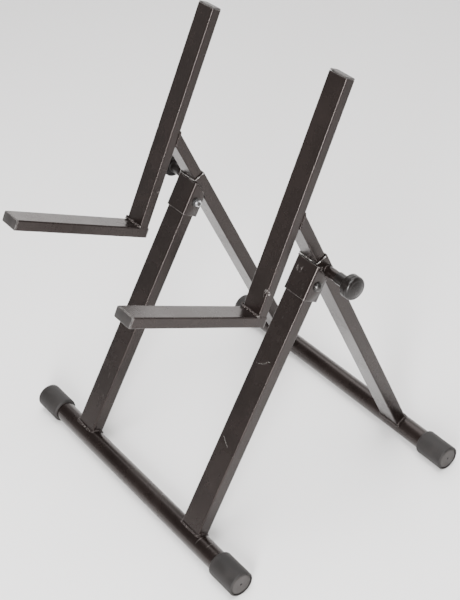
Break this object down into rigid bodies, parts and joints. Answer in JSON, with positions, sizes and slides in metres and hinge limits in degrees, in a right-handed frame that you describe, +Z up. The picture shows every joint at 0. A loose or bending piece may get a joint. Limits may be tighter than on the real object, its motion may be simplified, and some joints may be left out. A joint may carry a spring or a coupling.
{
  "type": "folding tilt-back amplifier stand",
  "caption": "Folding tilt-back stand for a guitar amplifier: slanted legs on round base tubes with rubber feet, and sliding L-shaped arms locked by spring pins.",
  "frame": {"origin": "on the floor, under the middle of the outline of the open stand", "axes": "+X to the right side seen from the front, -Y to the front where the support arms point, +Z up"},
  "size_m": [0.4186, 0.4129, 0.5481],
  "materials": {
    "powder_coat": "black satin powder coat on steel tube",
    "foot_rubber": "matte moulded rubber",
    "plug_plastic": "fine-grained black plastic",
    "knob_plastic": "smooth satin black plastic",
    "black_zinc": "black zinc plate, satin",
    "bright_zinc": "bright zinc plate"
  },
  "bodies": {
    "rear_frame": {"rear_base_tube": "powder_coat", "rear_leg_right": "powder_coat", "rear_leg_left": "powder_coat", "hinge_bracket_right": "powder_coat", "hinge_bracket_left": "powder_coat", "pivot_bolts": "black_zinc", "pivot_nuts": "bright_zinc", "pivot_washers": "black_zinc", "pin_housing_right": "powder_coat", "pin_housing_left": "powder_coat", "pin_spring_right": "bright_zinc", "pin_spring_left": "bright_zinc", "rear_foot_right": "foot_rubber", "rear_foot_left": "foot_rubber"},
    "front_frame": {"front_base_tube": "powder_coat", "front_leg_right": "powder_coat", "front_leg_left": "powder_coat", "pivot_bush_right": "bright_zinc", "pivot_bush_left": "bright_zinc", "front_foot_right": "foot_rubber", "front_foot_left": "foot_rubber"},
    "right_arm": {"inner_tube_right": "powder_coat", "upright_right": "powder_coat", "support_arm_right": "powder_coat", "upright_plug_right": "plug_plastic", "arm_tip_plug_right": "plug_plastic", "arm_rear_plug_right": "plug_plastic"},
    "left_arm": {"inner_tube_left": "powder_coat", "upright_left": "powder_coat", "support_arm_left": "powder_coat", "upright_plug_left": "plug_plastic", "arm_tip_plug_left": "plug_plastic", "arm_rear_plug_left": "plug_plastic"},
    "right_pin": {"pin_plunger_right": "bright_zinc", "pin_knob_right": "knob_plastic"},
    "left_pin": {"pin_plunger_left": "bright_zinc", "pin_knob_left": "knob_plastic"}
  },
  "joints": [
    {"name": "front_frame_fold", "type": "hinge", "parent": "rear_frame", "child": "front_frame", "pos_m": [0, 0.03494, 0.30587], "axis": [1, 0, 0], "range_deg": [0, 53.1]},
    {"name": "right_arm_slide", "type": "slide", "parent": "rear_frame", "child": "right_arm", "axis": [0, -0.4179, 0.9085], "range_m": [0, 0.072]},
    {"name": "left_arm_slide", "type": "slide", "parent": "rear_frame", "child": "left_arm", "axis": [0, -0.4179, 0.9085], "range_m": [0, 0.072]},
    {"name": "right_pin_pull", "type": "slide", "parent": "rear_frame", "child": "right_pin", "axis": [1, 0, 0], "range_m": [-0.006, 0.002], "stiffness_N_per_m": 400, "springref_m": -0.008, "deforming": ["pin_spring_right"]},
    {"name": "left_pin_pull", "type": "slide", "parent": "rear_frame", "child": "left_pin", "axis": [-1, 0, 0], "range_m": [-0.006, 0.002], "stiffness_N_per_m": 400, "springref_m": -0.008, "deforming": ["pin_spring_left"]}
  ]
}
